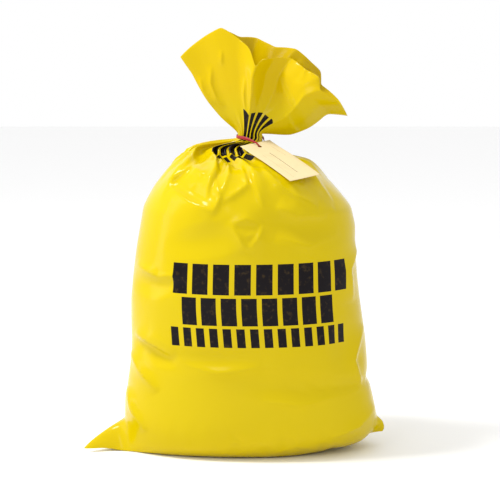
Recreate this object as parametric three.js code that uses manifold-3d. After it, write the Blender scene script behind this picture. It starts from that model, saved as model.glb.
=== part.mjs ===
// A filled plastic waste bag standing upright, its neck closed by a red tie that also carries a card tag.
// Millimetres, +Z up. The origin is on the floor under the bag, and the printed front faces -Y.
import * as THREE from "three";
import { mergeVertices } from "three/addons/utils/BufferGeometryUtils.js";
import Module from "manifold-3d";

// Filled body: sections at their heights above the floor, and how far each reaches to the four sides
const neckHeight = 489;
const neckRadius = 18.5;
const bodySections = [
  { z: 0, left: 166, right: 122, front: 96, back: 90 },
  { z: 4, left: 182, right: 158, front: 106, back: 100 },
  { z: 11, left: 190, right: 178, front: 112, back: 107 },
  { z: 20, left: 195, right: 191, front: 116, back: 112 },
  { z: 34, left: 197, right: 200, front: 119, back: 116 },
  { z: 56, left: 197, right: 201, front: 121, back: 119 },
  { z: 84, left: 195, right: 196, front: 122, back: 121 },
  { z: 112, left: 191, right: 190, front: 123, back: 122 },
  { z: 142, left: 186, right: 188, front: 125, back: 124 },
  { z: 174, left: 185, right: 185, front: 128, back: 126 },
  { z: 206, left: 186, right: 180, front: 131, back: 129 },
  { z: 238, left: 186, right: 175, front: 134, back: 131 },
  { z: 270, left: 183, right: 171, front: 137, back: 133 },
  { z: 318, left: 177, right: 167, front: 139, back: 135 },
];

// Shoulders: sections at their depth below the neck
const shoulderSections = [
  { below: 137, left: 171, right: 167, front: 139, back: 134 },
  { below: 107, left: 166, right: 160, front: 137, back: 130 },
  { below: 89, left: 158, right: 146, front: 133, back: 125 },
  { below: 73, left: 150, right: 131, front: 129, back: 116 },
  { below: 58, left: 139, right: 114, front: 122, back: 105 },
  { below: 43, left: 125, right: 95, front: 107.2, back: 90 },
  { below: 33, left: 113, right: 62, front: 75, back: 74 },
  { below: 25, left: 102, right: 26, front: 28, back: 57 },
  { below: 15, left: 93, right: 19.5, front: 19.5, back: 36 },
  { below: 10, left: 76, right: 18.5, front: 18.5, back: 24 },
  { below: 5, left: 24, right: 18.5, front: 18.5, back: 19 },
];
const pleatStart = 70;
const roundness = 2.15;
const columns = 64;
const sideCrowding = 0.42;

// Corners of the flat bottom seam, which stick out as flaps: the left one lies on the floor
const leftEar = { reach: 262, top: 34, tip: 9, low: 0, forward: 45 };
const rightEar = { reach: 213, top: 44, tip: 22, low: 12, forward: 14 };
const earThickness = 5;

// Open film above the tie: a squashed fan, given by its edge at fan angles in degrees
const wall = 2;
const fanSteps = 9;
const innerSteps = 6;
const hollowStart = 0.3;
const fanEdge = [
  { angle: 131.5, front: 164, back: 164, frontDepth: 0, backDepth: 0 },
  { angle: 118, front: 164, back: 165, frontDepth: 12, backDepth: 8 },
  { angle: 104.5, front: 167, back: 174, frontDepth: 20, backDepth: 16 },
  { angle: 96, front: 150, back: 154, frontDepth: 28, backDepth: 26 },
  { angle: 90, front: 138, back: 153, frontDepth: 37, backDepth: 34 },
  { angle: 86, front: 110, back: 152, frontDepth: 44, backDepth: 38 },
  { angle: 82, front: 122, back: 148, frontDepth: 37, backDepth: 36 },
  { angle: 74, front: 128, back: 143, frontDepth: 17, backDepth: 28 },
  { angle: 62, front: 138, back: 153, frontDepth: 11, backDepth: 18 },
  { angle: 50, front: 136, back: 149, frontDepth: 22, backDepth: 26 },
  { angle: 42, front: 143, back: 149, frontDepth: 37, backDepth: 35 },
  { angle: 35, front: 131, back: 136, frontDepth: 41, backDepth: 40 },
  { angle: 22, front: 147, back: 149, frontDepth: 27, backDepth: 28 },
  { angle: 11.5, front: 155, back: 155, frontDepth: 0, backDepth: 0 },
];
const fanLeftSide = [160, 152, 144, 138, 133, 131.5];
const fanRightSide = [10, 4, 2, 8, 16, 11.5];
const cornerInset = 60;
const leastInside = 0.15;
const fanPleats = 9;
const fanPleatDepth = 2.5;
const neckRise = 40;
const neckShare = 0.35;
const neckPleats = 14;
const neckPleatDepth = 1.6;

// Tie: a coated wire round the neck, down through the tag's hole and back under the card
const clearance = 0.3;
const tieRadius = 1.5;
const tieSides = 8;
const tieStep = 2.4;
const tieAboveNeck = 1;
const strandOverlap = 0.15;
const tailLength = 26;

// Tag: a card with square corners and one hole
const tagLength = 120;
const tagWidth = 60;
const tagThickness = 0.6;
const holeRadius = 3.2;
const holeInset = 12;
const holeBelowNeck = 12;
const holePlace = new THREE.Vector3(15, -32, neckHeight - holeBelowNeck);
const tagAlong = new THREE.Vector3(0.628, -0.681, -0.375).normalize();
const tagAcross = new THREE.Vector3(0.762, 0.64, 0.099);

const film = new THREE.MeshStandardMaterial({ color: 0xf2dc10, roughness: 0.25, metalness: 0 });
const coatedWire = new THREE.MeshStandardMaterial({ color: 0xa8101c, roughness: 0.4, metalness: 0 });
const card = new THREE.MeshStandardMaterial({ color: 0xf0e2b4, roughness: 0.8, metalness: 0 });

function named(name, geometry, material) {
  const mesh = new THREE.Mesh(geometry, material);
  mesh.name = name;
  return mesh;
}

// A value read along a list of evenly spaced ones, share going from 0 to 1
function along(values, share) {
  const place = THREE.MathUtils.clamp(share, 0, 1) * (values.length - 1);
  const low = Math.min(Math.floor(place), values.length - 2);
  return THREE.MathUtils.lerp(values[low], values[low + 1], place - low);
}

// Angle of a column of the bag: low down, columns crowd at the two sides, where the flaps are thin
function columnAngle(index, z) {
  const even = (2 * Math.PI * index) / columns;
  const crowding = sideCrowding * (1 - THREE.MathUtils.smoothstep(z, neckHeight - pleatStart, neckHeight));
  return even - crowding * Math.sin(2 * even);
}

function earReach(ear, side, z) {
  if (z > ear.top || z < ear.low) return 0;
  const rise = THREE.MathUtils.clamp((z - ear.tip) / (ear.top - ear.tip), 0, 1);
  return (ear.reach - side) * (1 - rise);
}

function bodyRing({ z, left, right, front, back }) {
  const ring = [];
  for (let i = 0; i < columns; i += 1) {
    const t = columnAngle(i, z);
    const cos = Math.cos(t);
    const sin = Math.sin(t);
    const toSide = cos > 0 ? right : left;
    const toFace = sin > 0 ? back : front;
    const reach = ((Math.abs(cos) ** roundness + Math.abs(sin) ** roundness) ** (-1 / roundness));
    const shoulder = THREE.MathUtils.smoothstep(z, neckHeight - pleatStart, neckHeight);
    const pleat = 1 + (shoulder * neckPleatDepth * Math.cos(neckPleats * t)) / neckRadius;
    const ear = cos > 0 ? rightEar : leftEar;
    const x = cos * toSide * reach * pleat;
    const y = sin * toFace * reach * pleat;
    const thin = Math.max(0, 1 - Math.abs(y) / (2 * earThickness));
    const flap = thin * Math.max(0, earReach(ear, toSide, z));
    const lean = flap / Math.max(1, ear.reach - toSide);
    ring.push(new THREE.Vector3(x + Math.sign(cos) * flap, y - ear.forward * lean, z));
  }
  return ring;
}

// The fan's edge read at one fan angle
function fanStop(angle) {
  let i = 0;
  while (i < fanEdge.length - 2 && fanEdge[i + 1].angle > angle) i += 1;
  const share = (fanEdge[i].angle - angle) / (fanEdge[i].angle - fanEdge[i + 1].angle);
  const inStep = THREE.MathUtils.clamp(share, 0, 1);
  return (name) => THREE.MathUtils.lerp(fanEdge[i][name], fanEdge[i + 1][name], inStep);
}

// Point of a column of the fan above the tie: share goes from 0 at the neck to 1 at the edge
function fanPoint(index, share, inset) {
  const half = columns / 2;
  const isFront = index > half;
  const across = isFront ? 2 - index / half : index / half;
  const squeezed = 0.5 + (across - 0.5) * (1 - inset / cornerInset);
  const edge = fanStop(THREE.MathUtils.lerp(fanEdge[fanEdge.length - 1].angle, fanEdge[0].angle, squeezed));
  const angle = THREE.MathUtils.lerp(along(fanRightSide, share), along(fanLeftSide, share), squeezed);
  const turn = THREE.MathUtils.degToRad(angle);
  const reach = share * edge(isFront ? "front" : "back");
  const t = (2 * Math.PI * index) / columns;
  const open = THREE.MathUtils.smoothstep(share, 0, 1);
  const mouth = edge(isFront ? "frontDepth" : "backDepth");
  const outside = THREE.MathUtils.lerp(neckRadius * Math.abs(Math.sin(t)), mouth, open);
  const depth = Math.max(outside - inset, leastInside * outside);
  const fan = new THREE.Vector3(
    reach * Math.cos(turn),
    (isFront ? -1 : 1) * (inset > 0 ? depth : outside) + fanPleatDepth * share * Math.cos(fanPleats * t),
    neckHeight + reach * Math.sin(turn),
  );
  const radius = neckRadius + neckPleatDepth * Math.cos(neckPleats * t) - inset;
  const neck = new THREE.Vector3(
    radius * Math.cos(t),
    radius * Math.sin(t),
    neckHeight + share * neckRise,
  );
  return neck.lerp(fan, THREE.MathUtils.smoothstep(share, 0, neckShare));
}

function fanRing(share, inset) {
  return Array.from({ length: columns }, (_, i) => fanPoint(i, share, inset));
}

// Closed solid through rings of equal count, with a flat lower face and a pointed inner end
function closedLoft(rings, end) {
  const points = rings.flat();
  const faces = [];
  const outline = rings[0].map((point) => new THREE.Vector2(point.x, point.y));
  for (const [a, b, c] of THREE.ShapeUtils.triangulateShape(outline, [])) faces.push(a, c, b);
  for (let row = 0; row < rings.length - 1; row += 1) {
    for (let i = 0; i < columns; i += 1) {
      const next = (i + 1) % columns;
      const a = row * columns + i;
      const b = row * columns + next;
      faces.push(a, b, b + columns, a, b + columns, a + columns);
    }
  }
  const last = (rings.length - 1) * columns;
  for (let i = 0; i < columns; i += 1) faces.push(last + i, last + ((i + 1) % columns), points.length);
  points.push(end);
  const geometry = new THREE.BufferGeometry().setFromPoints(points);
  geometry.setIndex(faces);
  geometry.computeVertexNormals();
  return geometry;
}

function bagGeometry() {
  const shoulders = shoulderSections.map((section) => ({ ...section, z: neckHeight - section.below }));
  const rings = [...bodySections, ...shoulders].map(bodyRing);
  for (let step = 0; step <= fanSteps; step += 1) rings.push(fanRing(step / fanSteps, 0));
  for (let step = innerSteps; step >= 0; step -= 1) {
    rings.push(fanRing(THREE.MathUtils.lerp(hollowStart, 1, step / innerSteps), wall));
  }
  const bottom = fanPoint(0, hollowStart, neckRadius).add(fanPoint(columns / 2, hollowStart, neckRadius));
  return closedLoft(rings, bottom.multiplyScalar(0.5).setY(0));
}

const wasm = await Module();
wasm.setup();

function solidOf(geometry) {
  const bare = geometry.clone();
  bare.deleteAttribute("normal");
  bare.deleteAttribute("uv");
  const merged = mergeVertices(bare, 1e-4);
  return new wasm.Manifold(
    new wasm.Mesh({
      numProp: 3,
      vertProperties: new Float32Array(merged.attributes.position.array),
      triVerts: new Uint32Array(merged.index.array),
    }),
  );
}

function geometryOf(solid) {
  const { vertProperties, triVerts } = solid.getMesh();
  const geometry = new THREE.BufferGeometry();
  geometry.setAttribute("position", new THREE.BufferAttribute(vertProperties, 3));
  geometry.setIndex(new THREE.BufferAttribute(triVerts, 1));
  geometry.computeVertexNormals();
  return geometry;
}

// Round wire of eight sides along a curve through the points given
function wire(points, radius) {
  const section = new THREE.Shape();
  for (let i = 0; i < tieSides; i += 1) {
    const turn = (2 * Math.PI * i) / tieSides;
    const point = [radius * Math.cos(turn), radius * Math.sin(turn)];
    if (i === 0) section.moveTo(...point);
    else section.lineTo(...point);
  }
  section.closePath();
  const curve = new THREE.CatmullRomCurve3(points, false, "centripetal");
  const steps = Math.round(curve.getLength() / tieStep);
  return solidOf(new THREE.ExtrudeGeometry(section, { steps, extrudePath: curve }));
}

const ringRadius = neckRadius + neckPleatDepth + 2 * clearance + tieRadius;

function onRing(degrees, rise) {
  const turn = THREE.MathUtils.degToRad(degrees);
  const height = neckHeight + tieAboveNeck + rise;
  return new THREE.Vector3(ringRadius * Math.cos(turn), ringRadius * Math.sin(turn), height);
}

function fromHole(x, y, z) {
  return holePlace.clone().add(new THREE.Vector3(x, y, z));
}

function tailPoint(share, aside) {
  return onRing(90, 0).add(new THREE.Vector3(aside, share * tailLength, 0));
}

// The tie in two strands that meet in the tag's hole and cross behind the neck: one comes out of the hole
// over the card's end and passes the neck on the left, the other passes under the card and on the right
function tieGeometry() {
  const overCard = wire([
    fromHole(0.6, 1, -1.8),
    fromHole(-2.5, -1, 4.5),
    fromHole(-10, 1.5, 8),
    onRing(252, -1),
    onRing(225, -0.5),
    onRing(195, 0),
    onRing(160, 0),
    onRing(125, 0),
    onRing(100, 0),
    tailPoint(0.3, 5),
    tailPoint(0.65, 7),
    tailPoint(1, 12),
  ], tieRadius);
  const underCard = wire([
    fromHole(-0.8, -0.4, 1.8),
    fromHole(1.5, 2.5, -4.5),
    fromHole(4, 8.5, -7.5),
    fromHole(8, 19.5, -6.5),
    onRing(0, -6),
    onRing(24, -2),
    onRing(50, 0),
    onRing(80, 0),
    tailPoint(0.3, -4),
    tailPoint(0.6, -6),
    tailPoint(0.85, -11),
  ], tieRadius + strandOverlap);
  return geometryOf(overCard.add(underCard));
}

function tagMesh() {
  const outline = new THREE.Shape();
  outline.moveTo(-holeInset, -tagWidth / 2);
  outline.lineTo(tagLength - holeInset, -tagWidth / 2);
  outline.lineTo(tagLength - holeInset, tagWidth / 2);
  outline.lineTo(-holeInset, tagWidth / 2);
  outline.closePath();
  const hole = new THREE.Path();
  hole.absarc(0, 0, holeRadius, 0, 2 * Math.PI, true);
  outline.holes.push(hole);
  const geometry = new THREE.ExtrudeGeometry(outline, {
    depth: tagThickness,
    bevelEnabled: false,
    curveSegments: 12,
  });
  geometry.translate(0, 0, -tagThickness / 2);
  const up = new THREE.Vector3().crossVectors(tagAlong, tagAcross).normalize();
  const across = new THREE.Vector3().crossVectors(up, tagAlong);
  const mesh = named("tag", geometry, card);
  mesh.quaternion.setFromRotationMatrix(new THREE.Matrix4().makeBasis(tagAlong, across, up));
  mesh.position.copy(holePlace);
  return mesh;
}

const wasteBag = new THREE.Group();
wasteBag.add(named("bag", bagGeometry(), film));
wasteBag.add(named("tie", tieGeometry(), coatedWire));
wasteBag.add(tagMesh());

export default wasteBag;
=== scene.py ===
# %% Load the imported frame
import math

import bmesh
import bpy
import numpy as np
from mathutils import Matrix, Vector
from mathutils.bvhtree import BVHTree


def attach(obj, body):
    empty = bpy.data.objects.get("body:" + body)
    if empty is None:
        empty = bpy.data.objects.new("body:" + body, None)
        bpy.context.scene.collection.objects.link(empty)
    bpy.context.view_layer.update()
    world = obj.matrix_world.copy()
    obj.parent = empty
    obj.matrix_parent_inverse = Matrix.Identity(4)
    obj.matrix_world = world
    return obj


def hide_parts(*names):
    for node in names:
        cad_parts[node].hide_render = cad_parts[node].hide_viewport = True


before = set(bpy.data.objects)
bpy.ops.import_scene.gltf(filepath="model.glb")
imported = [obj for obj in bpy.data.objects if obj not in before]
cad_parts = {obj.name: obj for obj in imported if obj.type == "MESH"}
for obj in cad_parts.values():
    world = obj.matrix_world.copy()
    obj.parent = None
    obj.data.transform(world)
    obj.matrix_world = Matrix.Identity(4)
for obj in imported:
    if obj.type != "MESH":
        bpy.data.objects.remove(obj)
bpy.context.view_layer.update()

# %% [markdown]
# The camera comes first. The bag was taken from a little above its middle with a long lens, so its
# upright sides stay nearly parallel. The lens follows from the width of floor plane that the picture
# spans at the bag.

# %% Camera
PICTURE_SPAN = 0.790
CAMERA_DISTANCE = 3.5
CAMERA_TILT = math.radians(8)
AIM_HEIGHT = 0.309
SENSOR = 0.036

look = Vector((0, math.cos(CAMERA_TILT), -math.sin(CAMERA_TILT)))
upward = Vector((0, math.sin(CAMERA_TILT), math.cos(CAMERA_TILT)))
camera_data = bpy.data.cameras.new("camera")
camera_data.sensor_width = SENSOR * 1000
camera_data.lens = SENSOR * 1000 * CAMERA_DISTANCE / PICTURE_SPAN
camera = bpy.data.objects.new("camera", camera_data)
camera.location = upward * AIM_HEIGHT - look * CAMERA_DISTANCE
camera.rotation_mode = "QUATERNION"
camera.rotation_quaternion = look.to_track_quat("-Z", "Y")
bpy.context.scene.collection.objects.link(camera)
bpy.context.scene.camera = camera
print("lens in mm:", round(camera_data.lens, 1))

# %% [markdown]
# The bag is one flat tube of thin film, welded across its lower edge. A maker starts it flat: FLAT_WIDE
# across and as long as its two side folds. A mesh of the film therefore has columns, which run from the
# weld to the open mouth, and rows, which run round the tube. Column 0 is the left side fold, the front
# comes next, then the right side fold and the back.
#
# The body could be a ball of cloth blown up until it fits, but then its outline would be luck. Instead
# the columns are laid on the frame's own bag, level by level, an equal length of film apart. The cloth
# solver then only has to find the creases.

# %% Film sizes and the sections of the body
FLAT_WIDE = 0.508
COLUMNS = 152
HALF = COLUMNS // 2
ROW_STEP = 0.0066
NECK_HEIGHT = 0.489
NECK_RADIUS = 0.0185
ROUND_FROM = 0.046

cad_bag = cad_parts["bag"]
cad_mesh = cad_bag.data
cad_tree = BVHTree.FromPolygons(
    [v.co for v in cad_mesh.vertices], [p.vertices for p in cad_mesh.polygons]
)


def level_outline(height, rays=240):
    """Where the frame's bag is met at one height, looking in from all round, left side fold first."""
    turns = math.pi + np.arange(rays) * 2 * math.pi / rays
    points = []
    for turn in turns:
        away = Vector((math.cos(turn), math.sin(turn), 0))
        hit = cad_tree.ray_cast(away + Vector((0, 0, height)), -away)[0]
        points.append((hit.x, hit.y))
    return np.array(points)


def evenly(points, count):
    """The same line with its points an equal length apart, both ends kept."""
    steps = np.linalg.norm(np.diff(points, axis=0), axis=1)
    length = np.concatenate([[0], np.cumsum(steps)])
    wanted = np.linspace(0, length[-1], count)
    return np.stack([np.interp(wanted, length, points[:, k]) for k in range(points.shape[1])], axis=1)


def level_ring(height):
    """One row of the film at a height: as much film in front as behind."""
    outline = level_outline(height)
    middle = len(outline) // 2
    front = evenly(outline[: middle + 1], HALF + 1)
    back = evenly(np.vstack([outline[middle:], outline[:1]]), HALF + 1)
    flat = np.vstack([front[:-1], back[:-1]])
    return np.column_stack([flat, np.full(COLUMNS, height)])


probe = np.concatenate([np.linspace(ROUND_FROM, NECK_HEIGHT - 0.021, 60),
                        np.linspace(NECK_HEIGHT - 0.0195, NECK_HEIGHT - 0.0035, 12)])
reach = np.array([np.linalg.norm(level_outline(z, 40), axis=1).mean() for z in probe])
profile = np.column_stack([reach, probe])
body_rows = int(np.linalg.norm(np.diff(profile, axis=0), axis=1).sum() / ROW_STEP)
heights = evenly(profile, body_rows)[:, 1]
body = np.array([level_ring(z) for z in heights])
print("body rows:", body_rows, "girth low down:", round(np.linalg.norm(
    np.diff(np.vstack([body[5], body[5, :1]]), axis=0), axis=1).sum(), 3))

# %% [markdown]
# The welded edge lies across under the bag. The film runs from it along the floor and then turns up.
# Both ends of the weld stick out past the filled body as flat flaps: the left one lies on the floor and
# points a little forward, and the right one hangs just clear of it.

# %% Weld, flaps and the turn at the floor
BASE_ROWS = 24
WELD_LEFT = np.array([-0.2625, -0.050, 0.005])
WELD_RIGHT = np.array([0.212, -0.012, 0.020])
FLOOR_LIFT = 0.0006
FLAP_SPREAD = 0.030

across = np.concatenate([np.linspace(-1, 1, HALF + 1)[:-1], np.linspace(1, -1, HALF + 1)[:-1]])
film_x = across * FLAT_WIDE / 2


def smooth(value, low, high):
    share = np.clip((value - low) / (high - low), 0, 1)
    return share * share * (3 - 2 * share)


weld_x = np.interp(across, [-1, 1], [WELD_LEFT[0], WELD_RIGHT[0]])
to_left = smooth(-weld_x, 0.150, -WELD_LEFT[0])
to_right = smooth(weld_x, 0.120, WELD_RIGHT[0])
weld = np.column_stack([
    weld_x,
    to_left * WELD_LEFT[1] + to_right * WELD_RIGHT[1],
    FLOOR_LIFT + to_left * WELD_LEFT[2] + to_right * WELD_RIGHT[2],
])
foot = body[0] * [0.88, 0.84, 0]
right_lift = 0.016 * smooth(foot[:, 0], 0.030, 0.175)
foot[:, 2] = FLOOR_LIFT + right_lift
near_fold = np.exp(-(((1 - np.abs(across)) * FLAT_WIDE / 2 / FLAP_SPREAD) ** 2))[:, None]
foot = foot * (1 - near_fold) + (0.55 * weld + 0.45 * body[0]) * near_fold

base = []
for row in range(BASE_ROWS):
    share = row / BASE_ROWS
    bend = share ** 0.8
    base.append((1 - bend) ** 2 * weld + 2 * bend * (1 - bend) * foot * [1.06, 1.10, 1] + bend ** 2 * body[0])
base = np.array(base)
base[1:, :, 2] = np.maximum(base[1:, :, 2] - 0.011 * (1 - near_fold.T) * np.sin(
    math.pi * np.arange(1, BASE_ROWS) / BASE_ROWS)[:, None], FLOOR_LIFT)
print("base rows:", BASE_ROWS)

# %% [markdown]
# Film drawn into a neck has to go somewhere, so it stands in folds that run out from the tie: ridges
# with a sharp crest and slack film between them. A regular wave would look like a skirt. Here each main
# fold is listed: the column where it starts, counted in degrees round the tube from the left side fold,
# how far it drifts sideways, its length and height, and the width of each flank. One flank is steeper,
# as in film that has been laid over to one side. Small even pleats are added only in the last few
# centimetres, where the film is really crowded.

# %% Folds at the shoulder
SHOULDER_FOLDS = [
    (5, -2, 0.10, 0.008, 5, 3), (14, -3, 0.17, 0.011, 7, 3), (25, 0, 0.09, 0.007, 3, 4),
    (37, -7, 0.20, 0.014, 9, 3), (52, 0, 0.07, 0.006, 3, 4), (70, -5, 0.205, 0.017, 10, 2.4),
    (80, -14, 0.16, 0.012, 3, 5), (88, 3, 0.10, 0.008, 3, 3), (97, 6, 0.19, 0.014, 3, 8),
    (108, 2, 0.09, 0.007, 3, 3), (119, 9, 0.20, 0.015, 3, 9), (131, 3, 0.10, 0.007, 3, 4),
    (146, 8, 0.20, 0.014, 7, 3), (160, 3, 0.10, 0.007, 4, 3), (171, 5, 0.15, 0.011, 3, 6),
    (186, 2, 0.12, 0.009, 6, 3), (199, -4, 0.19, 0.014, 8, 3), (213, 3, 0.10, 0.007, 3, 4),
    (226, 5, 0.17, 0.012, 3, 8), (240, -2, 0.09, 0.007, 3, 3), (252, 3, 0.20, 0.016, 9, 3),
    (266, 0, 0.11, 0.009, 3, 4), (279, -6, 0.18, 0.013, 3, 8), (294, 4, 0.10, 0.007, 4, 3),
    (307, -3, 0.20, 0.016, 8, 3), (322, 2, 0.11, 0.008, 3, 4), (336, 5, 0.17, 0.013, 3, 8),
    (350, 2, 0.10, 0.008, 4, 3),
]
PLEATS = 23
PLEAT_DEPTH = 0.0034
turn = np.arange(COLUMNS) / COLUMNS * 2 * math.pi


def pleat_wave(angle, count, offset=0.0):
    warped = angle + 0.10 * np.sin(3 * angle + 1.3 + offset) + 0.055 * np.sin(7 * angle + 0.4)
    return 1.9 * np.abs(np.sin(count * warped / 2 + offset)) - 1.2


def grid_normals(grid):
    """Outward direction at each point of a closed grid of rows and columns."""
    up_film = np.gradient(grid, axis=0)
    round_film = np.roll(grid, -1, axis=1) - np.roll(grid, 1, axis=1)
    normal = np.cross(round_film, up_film)
    return normal / np.maximum(np.linalg.norm(normal, axis=2, keepdims=True), 1e-9)


def add_shoulder_folds(rows):
    below = np.cumsum(np.linalg.norm(np.diff(rows[::-1], axis=0, prepend=rows[-1:]), axis=2), axis=0)[::-1]
    degrees = np.degrees(turn)[None]
    height = np.zeros(below.shape)
    for at, drift, length, ridge, before, after in SHOULDER_FOLDS:
        share = below / length
        aside = (degrees - at - drift * share ** 2 + 180) % 360 - 180
        body_of_fold = smooth(below, 0.0, 0.032) * (1 - smooth(share, 0.5, 1.0))
        crest = np.exp(-np.abs(aside) / np.where(aside < 0, before, after))
        height += ridge * body_of_fold * (crest - 1.3 * (before + after) / 360)
    crowded = smooth(below, 0.0, 0.014) * (1 - smooth(below, 0.025, 0.060))
    height += PLEAT_DEPTH * crowded * pleat_wave(turn, PLEATS)[None]
    return rows + grid_normals(rows) * height[:, :, None]


body = add_shoulder_folds(body)
print("folds from the tie:", len(SHOULDER_FOLDS), "small pleats:", PLEATS)

# %% [markdown]
# Above the tie the film springs open again, into a fan that leans to the right. Each row is placed by a
# share, 0 at the neck and 1 at the edge. The edge is a short list: at each fan angle it says how far the
# front and the back film reach and how far each stands from the middle. That one list gives the outline,
# the lip that is folded forward at 86 degrees, and the deep valley beside it that shows the inside.

# %% Open fan above the tie
FAN_ROWS = 27
FAN_EDGE = [
    {"angle": 11.5, "front": 0.155, "back": 0.155, "front_depth": 0.000, "back_depth": 0.000},
    {"angle": 22, "front": 0.147, "back": 0.149, "front_depth": 0.027, "back_depth": 0.028},
    {"angle": 35, "front": 0.131, "back": 0.136, "front_depth": 0.041, "back_depth": 0.040},
    {"angle": 42, "front": 0.143, "back": 0.149, "front_depth": 0.037, "back_depth": 0.035},
    {"angle": 50, "front": 0.136, "back": 0.149, "front_depth": 0.022, "back_depth": 0.026},
    {"angle": 62, "front": 0.138, "back": 0.153, "front_depth": 0.011, "back_depth": 0.018},
    {"angle": 74, "front": 0.128, "back": 0.143, "front_depth": 0.017, "back_depth": 0.028},
    {"angle": 82, "front": 0.122, "back": 0.148, "front_depth": 0.037, "back_depth": 0.036},
    {"angle": 86, "front": 0.110, "back": 0.152, "front_depth": 0.044, "back_depth": 0.038},
    {"angle": 90, "front": 0.138, "back": 0.153, "front_depth": 0.037, "back_depth": 0.034},
    {"angle": 96, "front": 0.153, "back": 0.154, "front_depth": 0.028, "back_depth": 0.026},
    {"angle": 104.5, "front": 0.176, "back": 0.172, "front_depth": 0.020, "back_depth": 0.016},
    {"angle": 118, "front": 0.169, "back": 0.165, "front_depth": 0.012, "back_depth": 0.008},
    {"angle": 131.5, "front": 0.164, "back": 0.164, "front_depth": 0.000, "back_depth": 0.000},
]
LEFT_SIDE = [160, 152, 144, 138, 133, 131.5]
RIGHT_SIDE = [10, 4, 2, 8, 16, 11.5]
FAN_PLEATS = 9
FAN_PLEAT_DEPTH = 0.0025
NECK_RISE = 0.040
NECK_SHARE = 0.35


def edge_value(at, name):
    return np.interp(at, [stop["angle"] for stop in FAN_EDGE], [stop[name] for stop in FAN_EDGE])


def fan_row(share):
    side_at = np.linspace(0, 1, len(LEFT_SIDE))
    left, right = np.interp(share, side_at, LEFT_SIDE), np.interp(share, side_at, RIGHT_SIDE)
    spread = 0.5 - 0.5 * across
    edge_at = FAN_EDGE[0]["angle"] + spread * (FAN_EDGE[-1]["angle"] - FAN_EDGE[0]["angle"])
    is_front = np.arange(COLUMNS) <= HALF
    out = share * np.where(is_front, edge_value(edge_at, "front"), edge_value(edge_at, "back"))
    mouth = np.where(is_front, edge_value(edge_at, "front_depth"), edge_value(edge_at, "back_depth"))
    angle = np.radians(right + spread * (left - right))
    opened = smooth(share, 0, 1)
    depth = NECK_RADIUS * np.abs(np.sin(turn)) * (1 - opened) + mouth * opened
    pleat = FAN_PLEAT_DEPTH * share * np.cos(FAN_PLEATS * (math.pi + turn))
    fan = np.column_stack([
        out * np.cos(angle), np.where(is_front, -depth, depth) + pleat, NECK_HEIGHT + out * np.sin(angle)])
    radius = NECK_RADIUS * (1 + 0.13 * pleat_wave(turn, PLEATS))
    neck = np.column_stack([-radius * np.cos(turn), -radius * np.sin(turn),
                            np.full(COLUMNS, NECK_HEIGHT + share * NECK_RISE)])
    return neck + (fan - neck) * smooth(share, 0, NECK_SHARE)


fan = np.array([fan_row(k / FAN_ROWS) for k in range(FAN_ROWS + 1)])
start = np.concatenate([base, body, fan])
rows = len(start)
NECK_ROW = BASE_ROWS + body_rows
print("rows:", rows, "columns:", COLUMNS)

# %% [markdown]
# The mesh is a grid closed round the tube. Front and back columns share their points along the weld.
# Beside its start shape it gets a second shape key, the same film laid flat: FLAT_WIDE across and as
# long as each column really is. The cloth solver takes its rest lengths from there, so film that is
# crowded in the start shape buckles as film does.

# %% Mesh of the film and its flat shape
film_y = np.concatenate([np.zeros((1, COLUMNS)), np.cumsum(
    np.linalg.norm(np.diff(start, axis=0), axis=2), axis=0)])
for _ in range(6):
    film_y = (film_y + np.roll(film_y, 1, axis=1) + np.roll(film_y, -1, axis=1)) / 3


def grid_faces(row_count):
    """Quads of the closed grid; in row 0 a back point is its front twin on the weld."""
    def index(row, column):
        column %= COLUMNS
        if row == 0 and column > HALF:
            column = COLUMNS - column
        return row * COLUMNS + column

    faces = []
    for row in range(row_count - 1):
        for column in range(COLUMNS):
            quad = [index(row, column), index(row, column + 1),
                    index(row + 1, column + 1), index(row + 1, column)]
            faces.append([v for k, v in enumerate(quad) if v != quad[k - 1]])
    return faces


def lay_coordinates(mesh, row_length):
    """Give the film coordinates in metres, as on the flat tube; the last column joins the first."""
    uv = mesh.uv_layers.new(name="film")
    wrapped = np.where(np.arange(COLUMNS) <= HALF, film_x, FLAT_WIDE - film_x)
    loop_vertex = np.zeros(len(mesh.loops), dtype=int)
    mesh.loops.foreach_get("vertex_index", loop_vertex)
    loop_column, loop_row = loop_vertex % COLUMNS, loop_vertex // COLUMNS
    uv_u = wrapped[loop_column]
    for face in mesh.polygons:
        span = list(face.loop_indices)
        if len(span) < 5 and max(loop_column[span]) - min(loop_column[span]) > HALF:
            for k in span:
                if loop_column[k] < HALF:
                    uv_u[k] += 2 * FLAT_WIDE
    uv.data.foreach_set("uv", np.column_stack([uv_u, row_length[loop_row]]).ravel())


def film_object(grid, faces, row_length=None):
    """The film as an object, without the spare points that the weld leaves in row 0."""
    mesh = bpy.data.meshes.new("film_bag")
    mesh.from_pydata(grid.reshape(-1, 3).tolist(), [], faces)
    piece = bpy.data.objects.new("film_bag", mesh)
    bpy.context.scene.collection.objects.link(piece)
    if row_length is not None:
        lay_coordinates(mesh, row_length)
    bm = bmesh.new()
    bm.from_mesh(mesh)
    bmesh.ops.delete(bm, geom=[v for v in bm.verts if not v.link_faces], context="VERTS")
    bm.to_mesh(mesh)
    bm.free()
    return piece


film_bag = film_object(start, grid_faces(rows))
film_mesh = film_bag.data
kept = np.array([k for k in range(rows * COLUMNS) if k >= COLUMNS or k <= HALF])
start_points = start.reshape(-1, 3)[kept]
print("points:", len(film_mesh.vertices), "film length in front:", round(float(film_y[-1, HALF // 2]), 3))

# %% [markdown]
# Cloth does the creasing. Air and loose waste push the film out, which Cloth calls pressure. The neck
# is held, as the tie holds it, and so is the film on the floor. Film hardly stretches but folds at
# once, so its tension is high and its bending low. After the run no point may have left the start
# shape by more than a fixed length, which keeps the outline of the real bag.

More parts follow.
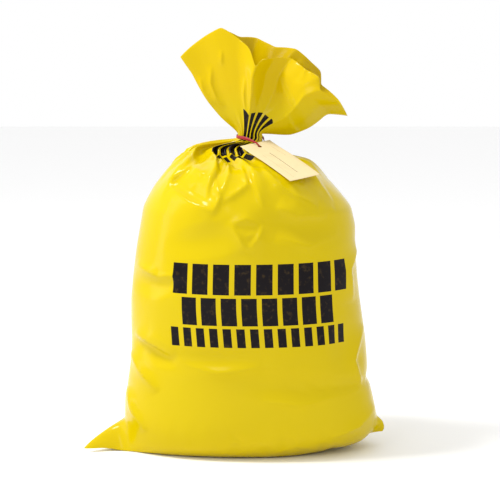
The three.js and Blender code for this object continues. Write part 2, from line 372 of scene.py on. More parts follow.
# %% Cloth
FRAMES = 26
PRESSURE = 2.0
MOST_MOVED = 0.013
EASE = 1.03

flat_points = EASE * np.column_stack([
    np.tile(film_x, rows), np.where(np.tile(np.arange(COLUMNS) <= HALF, rows), -0.002, 0.002),
    film_y.ravel()])[kept]


def simulate(film):
    film.shape_key_add(name="Basis")
    laid_flat = film.shape_key_add(name="laid_flat")
    laid_flat.data.foreach_set("co", flat_points.ravel())
    held = film.vertex_groups.new(name="held")
    above = start_points[:, 2] - NECK_HEIGHT
    neck_hold = smooth(above, -0.019, -0.005) * (1 - 0.8 * smooth(above, 0.030, 0.100))
    floor_hold = (start_points[:, 2] < 0.002).astype(float)
    for k, weight in enumerate(np.maximum(neck_hold, floor_hold)):
        if weight > 0.02:
            held.add([k], float(weight), "REPLACE")
    cloth = film.modifiers.new("cloth", "CLOTH").settings
    cloth.quality = 6
    cloth.mass = 0.02
    cloth.tension_stiffness = 30
    cloth.compression_stiffness = 10
    cloth.shear_stiffness = 5
    cloth.bending_model = "ANGULAR"
    cloth.bending_stiffness = 0.02
    cloth.tension_damping = 2
    cloth.compression_damping = 2
    cloth.shear_damping = 2
    cloth.bending_damping = 0.1
    cloth.air_damping = 2
    cloth.vertex_group_mass = "held"
    cloth.pin_stiffness = 4
    cloth.rest_shape_key = laid_flat
    cloth.use_pressure = True
    cloth.uniform_pressure_force = PRESSURE
    blown = film.vertex_groups.new(name="blown")
    blown_share = 1 - smooth(above, -0.060, -0.010)
    for k, weight in enumerate(blown_share):
        blown.add([k], float(weight), "REPLACE")
    cloth.vertex_group_pressure = "blown"
    cloth.effector_weights.gravity = 0
    scene = bpy.context.scene
    film.modifiers["cloth"].point_cache.frame_start = 1
    film.modifiers["cloth"].point_cache.frame_end = FRAMES
    for number in range(1, FRAMES + 1):
        scene.frame_set(number)
    shown = film.evaluated_get(bpy.context.evaluated_depsgraph_get())
    found = np.zeros(len(shown.data.vertices) * 3)
    shown.data.vertices.foreach_get("co", found)
    film.modifiers.clear()
    film.shape_key_clear()
    scene.frame_set(1)
    return found.reshape(-1, 3)


settled = start_points.copy()
settled = simulate(film_bag)
moved = settled - start_points
distance = np.linalg.norm(moved, axis=1)
print("moved at most:", round(float(distance.max()), 4), "on average:", round(float(distance.mean()), 4))
limit = MOST_MOVED * np.tanh(distance / MOST_MOVED) / np.maximum(distance, 1e-9)
settled = start_points + moved * limit[:, None]
settled[:, 2] = np.maximum(settled[:, 2], FLOOR_LIFT)
film_mesh.vertices.foreach_set("co", settled.ravel())
film_mesh.update()

# %% [markdown]
# The film has two sides, and in the open mouth both are seen. The inner side is laid a fraction of a
# millimetre inside the outer one, from the edge of the fan down into the neck, where it closes. So the
# whole bag is one closed skin, and looking into the mouth shows film and not a hole.

# %% Inner side of the open film
FILM_GAP = 0.0006
INNER_ROWS = 25

settled_grid = np.zeros((rows, COLUMNS, 3))
settled_grid.reshape(-1, 3)[kept] = settled
twin = COLUMNS - np.arange(HALF + 1, COLUMNS)
settled_grid[0, HALF + 1:] = settled_grid[0, twin]
inner = (settled_grid - grid_normals(settled_grid) * FILM_GAP)[rows - 1: rows - 1 - INNER_ROWS: -1]
narrowing = 1 - 0.9 * smooth(np.arange(INNER_ROWS) / INNER_ROWS, 0.90, 1.0)[:, None, None]
middle = inner.mean(axis=1, keepdims=True)
inner = middle + (inner - middle) * narrowing
skin = np.concatenate([settled_grid, inner])
skin_rows = len(skin)
front_length = film_y[:, HALF // 2]
skin_v = np.concatenate([front_length, front_length[-1] + ROW_STEP * np.arange(1, INNER_ROWS + 1)])

skin_faces = grid_faces(skin_rows)
skin_faces.append([(skin_rows - 1) * COLUMNS + k for k in range(COLUMNS)])
bpy.data.objects.remove(film_bag)
film_bag = film_object(skin, skin_faces, skin_v)
print("rows with the inner side:", skin_rows)

# %% [markdown]
# Real film has no corners where the solver's grid has them. A finer grid in the solver would slow it
# down, so one level of subdivision rounds the grid once the film has settled.

# %% Subdivision
def apply_modifiers(piece):
    bpy.ops.object.select_all(action="DESELECT")
    bpy.context.view_layer.objects.active = piece
    piece.select_set(True)
    for modifier in list(piece.modifiers):
        bpy.ops.object.modifier_apply(modifier=modifier.name)


rounder = film_bag.modifiers.new("rounder", "SUBSURF")
rounder.levels = rounder.render_levels = 1
apply_modifiers(film_bag)
film_mesh = film_bag.data
film_mesh.polygons.foreach_set("use_smooth", [True] * len(film_mesh.polygons))
print("triangles:", sum(len(p.vertices) - 2 for p in film_mesh.polygons))

# %% [markdown]
# The solver gives the slack, but a full bag also has a few creases and dents of its own, where it was
# held, dropped or leaned on. Each one is placed in the front or back view. A crease is a line of
# points (x, z) with a height and a width on either side, so that one flank can be steeper. A dent is an
# ellipse with a depth. Both move the film along its own outward direction.

# %% Creases and dents
CREASES = [
    # front, upper body: long folds down from the tie, the glossy flat beside them, the buckle in the middle
    ("front", [(-0.034, 0.454), (-0.030, 0.438), (-0.046, 0.404)], 0.0070, 0.004, 0.012),
    ("front", [(-0.014, 0.458), (-0.003, 0.425), (-0.017, 0.416), (-0.044, 0.401)], 0.0075, 0.004, 0.014),
    ("front", [(0.000, 0.458), (0.008, 0.430), (0.020, 0.392)], 0.0060, 0.010, 0.003),
    ("front", [(0.014, 0.455), (0.039, 0.425), (0.072, 0.405), (0.100, 0.392)], 0.0085, 0.016, 0.004),
    ("front", [(-0.053, 0.436), (-0.044, 0.408), (-0.056, 0.386)], 0.0060, 0.003, 0.006),
    ("front", [(-0.128, 0.428), (-0.088, 0.446), (-0.052, 0.434)], 0.0060, 0.010, 0.003),
    ("front", [(-0.128, 0.424), (-0.090, 0.402), (-0.052, 0.388)], 0.0070, 0.004, 0.012),
    ("front", [(-0.030, 0.376), (-0.016, 0.352), (-0.003, 0.330)], 0.0060, 0.004, 0.010),
    ("front", [(0.020, 0.372), (0.012, 0.350), (-0.003, 0.330)], 0.0060, 0.009, 0.004),
    ("front", [(-0.026, 0.371), (-0.006, 0.378), (0.018, 0.369)], 0.0045, 0.008, 0.004),
    ("front", [(-0.018, 0.362), (-0.004, 0.352), (0.010, 0.360)], 0.0030, 0.003, 0.003),
    ("front", [(0.040, 0.396), (0.070, 0.380), (0.118, 0.378)], 0.0070, 0.014, 0.005),
    ("front", [(0.040, 0.352), (0.085, 0.335), (0.140, 0.350)], 0.0050, 0.016, 0.006),
    # front, sides and lower body
    ("front", [(-0.174, 0.300), (-0.140, 0.286), (-0.104, 0.290)], 0.0080, 0.005, 0.014),
    ("front", [(-0.178, 0.190), (-0.150, 0.178), (-0.116, 0.163)], 0.0088, 0.012, 0.004),
    ("front", [(-0.184, 0.158), (-0.164, 0.132), (-0.140, 0.106)], 0.0088, 0.005, 0.012),
    ("front", [(-0.189, 0.100), (-0.180, 0.070), (-0.160, 0.040)], 0.0080, 0.005, 0.010),
    ("front", [(-0.120, 0.155), (-0.050, 0.142), (0.020, 0.150)], 0.0048, 0.018, 0.008),
    ("front", [(0.020, 0.100), (0.080, 0.088), (0.140, 0.102)], 0.0040, 0.018, 0.008),
    ("front", [(0.168, 0.330), (0.150, 0.290), (0.158, 0.240)], 0.0072, 0.005, 0.012),
    ("front", [(0.176, 0.200), (0.160, 0.150), (0.172, 0.100)], 0.0080, 0.005, 0.013),
    ("front", [(0.196, 0.070), (0.165, 0.048), (0.120, 0.034)], 0.0064, 0.008, 0.008),
    # back
    ("back", [(-0.110, 0.400), (-0.060, 0.372), (-0.020, 0.382)], 0.0096, 0.012, 0.005),
    ("back", [(0.010, 0.404), (0.050, 0.366), (0.100, 0.372)], 0.0096, 0.005, 0.014),
    ("back", [(-0.030, 0.330), (0.000, 0.300), (0.020, 0.262)], 0.0072, 0.005, 0.012),
    ("back", [(0.150, 0.290), (0.110, 0.268), (0.060, 0.276)], 0.0080, 0.013, 0.005),
    ("back", [(-0.160, 0.260), (-0.110, 0.232), (-0.060, 0.240)], 0.0072, 0.005, 0.013),
    ("back", [(-0.080, 0.160), (-0.010, 0.140), (0.070, 0.152)], 0.0064, 0.015, 0.006),
    ("back", [(0.165, 0.130), (0.130, 0.100), (0.080, 0.090)], 0.0072, 0.005, 0.012),
    ("back", [(-0.175, 0.110), (-0.140, 0.080), (-0.090, 0.072)], 0.0072, 0.012, 0.005),
    # the open fan, front and back
    ("front", [(-0.0435, 0.624), (-0.0440, 0.601)], 0.0021, 0.002, 0.003),
    ("front", [(-0.0590, 0.600), (-0.0600, 0.572), (-0.0510, 0.550), (-0.0380, 0.537)], 0.0039, 0.003, 0.006),
    ("front", [(-0.0780, 0.582), (-0.0720, 0.560), (-0.0560, 0.535)], 0.0030, 0.004, 0.003),
    ("front", [(-0.0070, 0.584), (-0.0080, 0.554), (-0.0050, 0.522)], 0.0039, 0.003, 0.005),
    ("front", [(0.0430, 0.584), (0.0580, 0.554), (0.0720, 0.534)], 0.0039, 0.003, 0.006),
    ("front", [(0.0740, 0.606), (0.0860, 0.594), (0.0800, 0.578)], 0.0036, 0.003, 0.004),
    ("front", [(0.0900, 0.600), (0.0960, 0.584), (0.1080, 0.572)], 0.0033, 0.003, 0.004),
    ("front", [(0.0540, 0.528), (0.0640, 0.506), (0.0740, 0.498)], 0.0033, 0.004, 0.003),
    ("back", [(-0.0600, 0.614), (-0.0500, 0.574), (-0.0280, 0.539)], 0.0039, 0.003, 0.006),
    ("back", [(0.0200, 0.624), (0.0220, 0.579), (0.0120, 0.534)], 0.0039, 0.005, 0.003),
    ("back", [(0.0900, 0.594), (0.0700, 0.559), (0.0400, 0.529)], 0.0039, 0.003, 0.006),
]
DENTS = [
    ("front", (-0.090, 0.416), (0.034, 0.018), -14, 0.0060),
    ("front", (0.084, 0.362), (0.070, 0.024), -8, 0.0083),
    ("front", (-0.064, 0.345), (0.050, 0.022), 12, 0.0045),
    ("front", (-0.140, 0.274), (0.034, 0.018), 10, 0.0067),
    ("front", (-0.146, 0.166), (0.030, 0.017), -20, 0.0075),
    ("front", (-0.060, 0.160), (0.070, 0.018), 4, 0.0045),
    ("front", (0.060, 0.120), (0.080, 0.022), -6, 0.0045),
    ("front", (0.150, 0.170), (0.026, 0.040), 15, 0.0053),
    ("back", (0.060, 0.350), (0.060, 0.024), 10, 0.0083),
    ("back", (-0.090, 0.300), (0.050, 0.024), -14, 0.0067),
    ("back", (0.000, 0.200), (0.090, 0.026), 6, 0.0060),
    ("back", (0.110, 0.120), (0.040, 0.022), 18, 0.0053),
]


def vertex_values(mesh, name):
    found = np.zeros(len(mesh.vertices) * 3)
    mesh.vertices.foreach_get(name, found)
    return found.reshape(-1, 3)


def crease_height(x, z, line, above, below):
    """How much of a crease each point gets: 1 on its line, less to either side and to both ends."""
    nearest = np.full(len(x), 1e9)
    height = np.zeros(len(x))
    for k in range(len(line) - 1):
        (x0, z0), (x1, z1) = line[k], line[k + 1]
        dx, dz = x1 - x0, z1 - z0
        length = math.hypot(dx, dz)
        part = np.clip(((x - x0) * dx + (z - z0) * dz) / length ** 2, 0, 1)
        away_x, away_z = x - x0 - part * dx, z - z0 - part * dz
        distance = np.hypot(away_x, away_z)
        is_above = away_z * dx - away_x * dz > 0
        along = (k + part) / (len(line) - 1)
        value = np.exp(-distance / np.where(is_above, above, below)) * np.sin(math.pi * along) ** 0.7
        closer = distance < nearest
        height[closer] = value[closer]
        nearest = np.minimum(nearest, distance)
    return height


places = vertex_values(film_mesh, "co")
outward = vertex_values(film_mesh, "normal")
faces_front, faces_back = smooth(-outward[:, 1], 0.0, 0.25), smooth(outward[:, 1], 0.0, 0.25)
rise = np.zeros(len(places))
for side, line, height, above, below in CREASES:
    seen = faces_front if side == "front" else faces_back
    rise += seen * height * crease_height(places[:, 0], places[:, 2], line, above, below)
for side, (x, z), (wide, tall), degrees, depth in DENTS:
    seen = faces_front if side == "front" else faces_back
    tilt = math.radians(degrees)
    dx, dz = places[:, 0] - x, places[:, 2] - z
    along = (dx * math.cos(tilt) + dz * math.sin(tilt)) / wide
    beside = (dz * math.cos(tilt) - dx * math.sin(tilt)) / tall
    rise -= seen * depth * np.clip(1 - (along ** 2 + beside ** 2) / 2, 0, 1) ** 2
print("creases:", len(CREASES), "dents:", len(DENTS), "largest rise:", round(float(rise.max()), 4))

# %% [markdown]
# The tag lies on the shoulder and keeps the film down, so under the card no film may stand above a plane
# just below it. The card's own axes come first, because the film, the card and its hole all use them.

# %% The tag's place, and the film under it
HOLE = Vector((0.015, -0.032, 0.477))
TAG_LENGTH = 0.120
TAG_WIDTH = 0.060
HOLE_INSET = 0.012
CARD_CLEAR = 0.0016

tag_along = Vector((0.628, -0.681, -0.375)).normalized()
tag_up = tag_along.cross(Vector((0.762, 0.64, 0.099))).normalized()
tag_across = tag_up.cross(tag_along)
places += outward * rise[:, None]
from_hole = places - np.array(HOLE)
along_card, across_card, over_card = (from_hole @ np.array(axis) for axis in (tag_along, tag_across, tag_up))
under = (smooth(along_card, -HOLE_INSET - 0.014, -HOLE_INSET - 0.004)
         * (1 - smooth(along_card, TAG_LENGTH - HOLE_INSET + 0.003, TAG_LENGTH - HOLE_INSET + 0.020))
         * (1 - smooth(np.abs(across_card), TAG_WIDTH / 2 + 0.003, TAG_WIDTH / 2 + 0.016))
         * (over_card < 0.012) * (places[:, 2] < NECK_HEIGHT - 0.004))
too_high = np.maximum(over_card + CARD_CLEAR, 0) * under
places -= too_high[:, None] * np.array(tag_up)[None]
places[:, 2] = np.maximum(places[:, 2], FLOOR_LIFT)
film_mesh.vertices.foreach_set("co", places.ravel())
film_mesh.update()
print("points pressed down by the card:", int((too_high > 0.0001).sum()))

# %% [markdown]
# The tie is a twist tie: a flat strip 5 mm wide with a soft wire in its middle. It is drawn as a curve
# with a cross section of its own, so the wire shows as a rib along the strip. It leaves the tag's hole as
# two strands, one over the card and one under it. They go round the neck and cross behind it. The number
# beside each place is the share of the full width. The real strip keeps one width and bends with the
# card. This one is stiff, so it is drawn narrower in the hole and beside the card's inner end, where the
# full width would cut through the card at the end of its swing.

# %% Tie
NECK_PLEAT_DEPTH = 0.0016
CLEARANCE = 0.0003
TIE_RADIUS = 0.0015
RING_RADIUS = NECK_RADIUS + NECK_PLEAT_DEPTH + 2 * CLEARANCE + TIE_RADIUS
TAIL_LENGTH = 0.026
STRIP_HALF = 0.0025
STRIP_THIN = 0.00022
WIRE_HALF = 0.00062


def on_ring(degrees, rise):
    turned = math.radians(degrees)
    return (RING_RADIUS * math.cos(turned), RING_RADIUS * math.sin(turned), NECK_HEIGHT + 0.001 + rise)


def from_tag_hole(x, y, z):
    return (HOLE.x + x, HOLE.y + y, HOLE.z + z)


def tail_point(share, aside):
    x, y, z = on_ring(90, 0)
    return (x + aside, y + share * TAIL_LENGTH, z)


OVER_CARD = [
    (from_tag_hole(0.0006, 0.0010, -0.0018), 0.42), (from_tag_hole(-0.0025, -0.0010, 0.0045), 0.5),
    (from_tag_hole(-0.0100, 0.0015, 0.0080), 0.55), (on_ring(252, -0.0010), 1.0),
    (on_ring(225, -0.0005), 1.0), (on_ring(195, 0), 1.0), (on_ring(160, 0), 1.0), (on_ring(125, 0), 1.0),
    (on_ring(100, 0), 1.0), (tail_point(0.30, 0.005), 1.0), (tail_point(0.65, 0.007), 1.0),
    (tail_point(1.00, 0.012), 1.0),
]
UNDER_CARD = [
    (from_tag_hole(-0.0008, -0.0004, 0.0018), 0.42), (from_tag_hole(0.0015, 0.0025, -0.0045), 0.45),
    (from_tag_hole(0.0040, 0.0085, -0.0075), 0.5), (from_tag_hole(0.0080, 0.0195, -0.0065), 0.55),
    (on_ring(0, -0.0060), 1.0), (on_ring(24, -0.0020), 1.0), (on_ring(50, 0), 1.0), (on_ring(80, 0), 1.0),
    (tail_point(0.30, -0.004), 1.0), (tail_point(0.60, -0.006), 1.0), (tail_point(0.85, -0.011), 1.0),
]
SECTION = [
    (-STRIP_HALF, 0), (-STRIP_HALF * 0.9, STRIP_THIN), (-WIRE_HALF * 1.5, STRIP_THIN),
    (-WIRE_HALF * 0.7, WIRE_HALF * 0.8), (0, WIRE_HALF), (WIRE_HALF * 0.7, WIRE_HALF * 0.8),
    (WIRE_HALF * 1.5, STRIP_THIN), (STRIP_HALF * 0.9, STRIP_THIN),
    (STRIP_HALF, 0), (STRIP_HALF * 0.9, -STRIP_THIN), (WIRE_HALF * 1.5, -STRIP_THIN),
    (WIRE_HALF * 0.7, -WIRE_HALF * 0.8), (0, -WIRE_HALF), (-WIRE_HALF * 0.7, -WIRE_HALF * 0.8),
    (-WIRE_HALF * 1.5, -STRIP_THIN), (-STRIP_HALF * 0.9, -STRIP_THIN),
]


def strip_section():
    data = bpy.data.curves.new("strip_section", "CURVE")
    data.dimensions = "2D"
    line = data.splines.new("POLY")
    line.points.add(len(SECTION) - 1)
    for point, (wide, thick) in zip(line.points, SECTION):
        point.co = (thick, wide, 0, 1)
    line.use_cyclic_u = True
    section = bpy.data.objects.new("strip_section", data)
    bpy.context.scene.collection.objects.link(section)
    return section


section = strip_section()
tie_curve = bpy.data.curves.new("twist_tie", "CURVE")
tie_curve.dimensions = "3D"
tie_curve.twist_mode = "Z_UP"
tie_curve.bevel_mode = "OBJECT"
tie_curve.bevel_object = section
tie_curve.use_fill_caps = True
tie_curve.resolution_u = 6
for strand in (OVER_CARD, UNDER_CARD):
    line = tie_curve.splines.new("NURBS")
    line.points.add(len(strand) - 1)
    for point, (place, radius) in zip(line.points, strand):
        point.co = (*place, 1)
        point.radius = radius
    line.order_u = 4
    line.use_endpoint_u = True
twist_tie = bpy.data.objects.new("twist_tie", tie_curve)
bpy.context.scene.collection.objects.link(twist_tie)
bpy.ops.object.select_all(action="DESELECT")
bpy.context.view_layer.objects.active = twist_tie
twist_tie.select_set(True)
bpy.ops.object.convert(target="MESH")
bpy.data.objects.remove(section)
bpy.ops.object.shade_smooth_by_angle(angle=math.radians(40))
print("tie triangles:", sum(len(p.vertices) - 2 for p in twist_tie.data.polygons))

# %% [markdown]
# The tag is a stamped card: a flat box with square corners, a punched hole near one end, and a slight
# bow, because card that has been handled never stays flat. It is modelled flat at the origin, where its
# length lies along X, and only then turned into its place. Its rules are printed, so they belong to its
# material, which reads the card's own coordinates from a UV map in metres.

# %% Tag
CARD_THICK = 0.0004
CARD_BOW = 0.0011
HOLE_RADIUS = 0.0032

bpy.ops.object.select_all(action="DESELECT")
bpy.ops.mesh.primitive_cube_add(size=1, location=(TAG_LENGTH / 2 - HOLE_INSET, 0, 0),
                                scale=(TAG_LENGTH, TAG_WIDTH, CARD_THICK))
card_tag = bpy.context.object
card_tag.name = "card_tag"
bpy.ops.object.transform_apply(location=True, rotation=True, scale=True)
bpy.ops.object.mode_set(mode="EDIT")
for cut in range(1, 24):
    bpy.ops.mesh.select_all(action="SELECT")
    bpy.ops.mesh.bisect(plane_co=(TAG_LENGTH * cut / 24 - HOLE_INSET, 0, 0), plane_no=(1, 0, 0))
for cut in range(1, 8):
    bpy.ops.mesh.select_all(action="SELECT")
    bpy.ops.mesh.bisect(plane_co=(0, TAG_WIDTH * (cut / 8 - 0.5), 0), plane_no=(0, 1, 0))
bpy.ops.object.mode_set(mode="OBJECT")
bpy.ops.object.select_all(action="DESELECT")
bpy.ops.mesh.primitive_cylinder_add(vertices=48, radius=HOLE_RADIUS, depth=0.01)
punch = bpy.context.object
punched = card_tag.modifiers.new("punched", "BOOLEAN")
punched.operation = "DIFFERENCE"
punched.object = punch
punched.solver = "EXACT"
apply_modifiers(card_tag)
bpy.data.objects.remove(punch)
eased = card_tag.modifiers.new("eased", "BEVEL")
eased.width = 0.00008
eased.segments = 2
eased.limit_method = "ANGLE"
eased.angle_limit = math.radians(50)
apply_modifiers(card_tag)

card_uv = card_tag.data.uv_layers.active or card_tag.data.uv_layers.new()
card_uv.name = "card"
flat_card = vertex_values(card_tag.data, "co")
card_loops = np.zeros(len(card_tag.data.loops), dtype=int)
card_tag.data.loops.foreach_get("vertex_index", card_loops)
card_uv.data.foreach_set("uv", flat_card[card_loops, :2].ravel())
share = (flat_card[:, 0] + HOLE_INSET) / TAG_LENGTH
bowed = flat_card.copy()
bowed[:, 2] += CARD_BOW * np.sin(math.pi * np.clip(share, 0, 1)) * smooth(share, 0.12, 0.45)
bowed[:, 2] += 0.0005 * share * (flat_card[:, 1] / (TAG_WIDTH / 2)) ** 2
in_place = np.array(HOLE) + bowed[:, :1] * np.array(tag_along) + bowed[:, 1:2] * np.array(tag_across) \
    + bowed[:, 2:] * np.array(tag_up)
card_tag.data.vertices.foreach_set("co", in_place.ravel())
card_tag.data.update()
bpy.ops.object.select_all(action="DESELECT")
card_tag.select_set(True)
bpy.context.view_layer.objects.active = card_tag
bpy.ops.object.shade_smooth_by_angle(angle=math.radians(30))
print("tag triangles:", sum(len(p.vertices) - 2 for p in card_tag.data.polygons))

# %% [markdown]
# Shader maths reads best as sums, so a small class wraps a socket and lends it the usual operators.
# Each expression on values adds one Math node, and any other node comes from one method.

# %% Shader expressions
class Value:
    """A socket of a node tree, with arithmetic."""

    def __init__(self, tree, socket):
        self.tree = tree
        self.socket = socket

    def math(self, operation, *others):
        return Nodes(self.tree).make("ShaderNodeMath", {"operation": operation}, self, *others)

    def __add__(self, other):
        return self.math("ADD", other)

    __radd__ = __add__

    def __sub__(self, other):
        return self.math("SUBTRACT", other)

    def __rsub__(self, other):
        return Nodes(self.tree).make("ShaderNodeMath", {"operation": "SUBTRACT"}, other, self)

    def __mul__(self, other):
        return self.math("MULTIPLY", other)

    __rmul__ = __mul__

    def __truediv__(self, other):
        return self.math("DIVIDE", other)

    def __gt__(self, other):
        return self.math("GREATER_THAN", other)

    def __lt__(self, other):
        return self.math("LESS_THAN", other)


class Nodes:
    """Adds nodes to one material's tree."""

    def __init__(self, tree):
        self.tree = tree

    def make(self, kind, settings=None, *inputs, output=0, **named):
        node = self.tree.nodes.new(kind)
        for name, value in (settings or {}).items():
            setattr(node, name, value)
        pairs = [*enumerate(inputs), *named.items()]
        for key, value in pairs:
            socket = node.inputs[key.replace("_", " ") if isinstance(key, str) else key]
            if isinstance(value, Value):
                self.tree.links.new(value.socket, socket)
            elif value is not None:
                socket.default_value = value
        return Value(self.tree, node.outputs[output])

    def mix(self, share, low, high):
        node = self.tree.nodes.new("ShaderNodeMix")
        node.data_type = "RGBA"
        for socket, value in zip((node.inputs[0], node.inputs[6], node.inputs[7]), (share, low, high)):
            if isinstance(value, Value):
                self.tree.links.new(value.socket, socket)
            else:
                socket.default_value = value
        return Value(self.tree, node.outputs[2])

    def ramp(self, value, low, high):
        eased = {"interpolation_type": "SMOOTHSTEP"}
        return self.make("ShaderNodeMapRange", eased, value, low, high, 0.0, 1.0)


def new_material(name, **shader_values):
    material = bpy.data.materials.new(name)
    material.use_nodes = True
    shader = material.node_tree.nodes["Principled BSDF"]
    for socket, value in shader_values.items():
        shader.inputs[socket.replace("_", " ")].default_value = value
    return material, Nodes(material.node_tree), shader


def link(nodes, value, shader, socket):
    nodes.tree.links.new(value.socket, shader.inputs[socket])


# %% [markdown]
# The film is thin polyethylene, dyed through: glossy and a little waxy. The open fan above the tie is
# painted a deeper orange: painted light, for the light that bounces between its layers of film. Its print
# is black ink on the flat film, so it is drawn on the film's own coordinates and goes into every fold. The
# print here is plain upright blocks in three rows, and the same three rows come again higher up, where
# the tie bunches them.

# %% Film material
FRONT_PRINT_HEIGHT = 0.2148
NECK_PRINT_BELOW = 0.055
PRINT_ROWS = [
    {"low": 0.0480, "high": 0.0950, "left": -0.1175, "right": 0.1740, "blocks": 9, "filled": 0.76},
    {"low": 0.0, "high": 0.0430, "left": -0.1015, "right": 0.1420, "blocks": 8, "filled": 0.76},
    {"low": -0.0340, "high": -0.0045, "left": -0.1225, "right": 0.1640, "blocks": 14, "filled": 0.62},
]
NECK_PRINT_ROWS = [
    {"low": 0.0460, "high": 0.0960, "left": -0.0950, "right": 0.1500, "blocks": 5, "filled": 0.66},
    {"low": -0.0040, "high": 0.0400, "left": -0.0650, "right": 0.1700, "blocks": 6, "filled": 0.66},
    {"low": -0.0340, "high": -0.0100, "left": -0.0450, "right": 0.1700, "blocks": 8, "filled": 0.55},
]


def film_material(front_print, neck_print):
    material, n, shader = new_material("film", Coat_Weight=0.0, IOR=1.50, Specular_IOR_Level=0.13)
    place = n.make("ShaderNodeUVMap", {"uv_map": "film"})
    split = n.make("ShaderNodeSeparateXYZ", None, place)
    over = Value(n.tree, split.socket.node.outputs[0])
    up = Value(n.tree, split.socket.node.outputs[1])
    ink = None
    for origin, print_rows in ((front_print, PRINT_ROWS), (neck_print, NECK_PRINT_ROWS)):
        for row in print_rows:
            pitch = (row["right"] - row["left"]) / (row["blocks"] - 1 + row["filled"])
            inside = (up > origin + row["low"]) * (up < origin + row["high"])
            inside = inside * (over > row["left"]) * (over < row["right"])
            cell = ((over - row["left"]) / pitch).math("FRACT")
            block = inside * (cell < row["filled"])
            ink = block if ink is None else ink.math("MAXIMUM", block)
    position = n.make("ShaderNodeTexCoord", None, output=3)
    broad = n.make("ShaderNodeTexNoise", None, position, Scale=7.0, Detail=2.0)
    soft = n.make("ShaderNodeTexNoise", None, position, Scale=26.0, Detail=3.0, Distortion=0.6)
    fine = n.make("ShaderNodeTexNoise", None, position, Scale=90.0, Detail=4.0)
    worn = n.make("ShaderNodeTexNoise", None, position, Scale=140.0, Detail=5.0)
    yellow = n.mix(broad, (0.545, 0.402, 0.0003, 1), (0.592, 0.450, 0.0006, 1))
    # Painted light: from just above the tie upwards the film is painted a deeper orange, standing in for
    # light bounced between the layers of the open fan.
    height = Value(n.tree, n.make("ShaderNodeSeparateXYZ", None, position).socket.node.outputs[2])
    yellow = n.mix(n.ramp(height, 0.520, 0.575) * 0.75, yellow, (0.600, 0.410, 0.0004, 1))
    black = n.mix(n.ramp(worn, 0.52, 0.72), (0.004, 0.002, 0.003, 1), (0.030, 0.018, 0.006, 1))
    link(n, n.mix(ink, yellow, black), shader, "Base Color")
    link(n, 0.11 + 0.09 * soft + 0.05 * fine + 0.12 * ink, shader, "Roughness")
    bump = n.make("ShaderNodeBump", None, Strength=0.5, Distance=0.0016,
                  Height=broad * 0.9 + soft * 0.45 + fine * 0.06)
    link(n, bump, shader, "Normal")
    return material


front_height = start[:NECK_ROW, HALF // 2, 2]
front_print_at = float(np.interp(FRONT_PRINT_HEIGHT, front_height, front_length[:NECK_ROW]))
neck_print_at = float(front_length[NECK_ROW]) - NECK_PRINT_BELOW
film_bag.data.materials.append(film_material(front_print_at, neck_print_at))
print("print starts on the film at", round(front_print_at, 3), "and at", round(neck_print_at, 3))

# %% [markdown]
# The tie's coating is soft red plastic, with a faint mottle. The card is buff board: matt, with fibres
# and slightly dirty edges, and three ruled lines to write on.

# %% Tie and tag materials
def tie_material():
    material, n, shader = new_material("coated_wire", IOR=1.47)
    position = n.make("ShaderNodeTexCoord", None, output=3)
    mottle = n.make("ShaderNodeTexNoise", None, position, Scale=320.0, Detail=3.0)
    link(n, n.mix(mottle, (0.26, 0.003, 0.010, 1), (0.44, 0.016, 0.030, 1)), shader, "Base Color")
    link(n, 0.30 + 0.15 * mottle, shader, "Roughness")
    return material


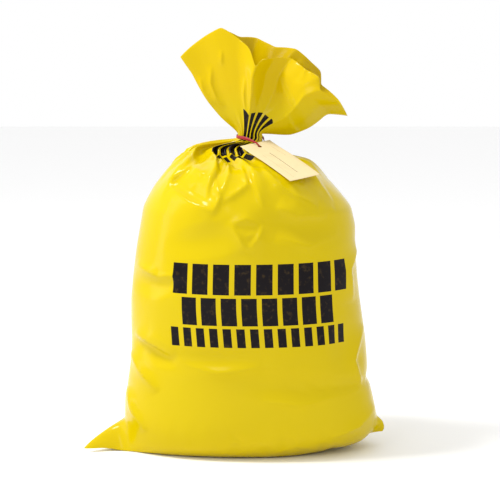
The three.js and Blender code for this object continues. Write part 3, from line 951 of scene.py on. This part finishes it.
def tag_material():
    material, n, shader = new_material("card", IOR=1.45)
    shader.inputs["Specular IOR Level"].default_value = 0.25
    place = n.make("ShaderNodeUVMap", {"uv_map": "card"})
    split = n.make("ShaderNodeSeparateXYZ", None, place)
    along = Value(n.tree, split.socket.node.outputs[0])
    beside = Value(n.tree, split.socket.node.outputs[1])
    rules = None
    for middle, half, first, last, strength in (
            (0.0000, 0.00045, 0.023, 0.090, 0.85), (0.0185, 0.00025, 0.004, 0.040, 0.40),
            (-0.0160, 0.00025, 0.024, 0.100, 0.40)):
        rule = (beside > middle - half) * (beside < middle + half)
        rule = rule * (along > first) * (along < last) * strength
        rules = rule if rules is None else rules.math("MAXIMUM", rule)
    fibres = n.make("ShaderNodeTexNoise", None, n.make(
        "ShaderNodeCombineXYZ", None, along * 260.0, beside * 1100.0, 0.0), Scale=1.0, Detail=4.0)
    cloudy = n.make("ShaderNodeTexNoise", None, place, Scale=45.0, Detail=3.0)
    clean = n.mix(fibres, (0.66, 0.535, 0.300, 1), (0.72, 0.600, 0.360, 1))
    board = n.mix(n.ramp(cloudy, 0.45, 0.80) * 0.35, clean, (0.58, 0.45, 0.24, 1))
    from_edge = (0.030 - beside.math("ABSOLUTE")).math("MINIMUM", 0.108 - along)
    edge_wear = n.ramp(0.0022 - from_edge, 0.0, 0.0022) * 0.30
    board = n.mix(edge_wear, board, (0.55, 0.42, 0.22, 1))
    link(n, n.mix(rules, board, (0.035, 0.028, 0.022, 1)), shader, "Base Color")
    link(n, 0.62 + 0.16 * fibres, shader, "Roughness")
    bump = n.make("ShaderNodeBump", None, Strength=0.25, Distance=0.0003, Height=fibres)
    link(n, bump, shader, "Normal")
    return material


twist_tie.data.materials.clear()
twist_tie.data.materials.append(tie_material())
card_tag.data.materials.clear()
card_tag.data.materials.append(tag_material())
print("materials:", [m.name for m in bpy.data.materials if m.users])

# %% [markdown]
# The photograph is a studio picture on white: soft light from all round, and one stronger soft light high
# on the left, which draws the bright patches on the shoulder. A plain white world gives the first, one
# area light the second, and two weak ones lift the left side and the front. The floor is plain and pale.

# %% Floor, light and view
def add_light(name, size, power, place, target):
    data = bpy.data.lights.new(name, "AREA")
    data.shape = "RECTANGLE"
    data.size, data.size_y = size
    data.energy = power
    light = bpy.data.objects.new(name, data)
    light.location = place
    light.rotation_mode = "QUATERNION"
    light.rotation_quaternion = (Vector(target) - Vector(place)).to_track_quat("-Z", "Y")
    bpy.context.scene.collection.objects.link(light)


add_light("key_light", (0.45, 0.6), 40, (-1.15, -0.40, 2.25), (0, 0, 0.35))
add_light("side_light", (0.35, 1.4), 4, (-1.7, -0.10, 0.7), (0, 0, 0.3))
add_light("front_light", (0.5, 0.5), 4, (-0.9, -2.2, 1.3), (0, 0, 0.3))
bpy.ops.object.select_all(action="DESELECT")
bpy.ops.mesh.primitive_plane_add(size=12)
floor = bpy.context.object
floor.name = "floor"
floor_material, _, _ = new_material("floor", Base_Color=(0.93, 0.93, 0.93, 1), Roughness=0.8)
floor.data.materials.append(floor_material)
world = bpy.data.worlds.new("studio")
world.use_nodes = True
world.node_tree.nodes["Background"].inputs["Color"].default_value = (1, 1, 1, 1)
world.node_tree.nodes["Background"].inputs["Strength"].default_value = 1.0
bpy.context.scene.world = world
bpy.context.scene.view_settings.view_transform = "Standard"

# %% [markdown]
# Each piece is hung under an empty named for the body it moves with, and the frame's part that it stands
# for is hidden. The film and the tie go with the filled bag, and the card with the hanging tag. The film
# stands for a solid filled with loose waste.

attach(film_bag, "filled_bag")
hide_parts("bag")
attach(twist_tie, "filled_bag")
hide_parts("tie")
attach(card_tag, "hanging_tag")
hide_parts("tag")
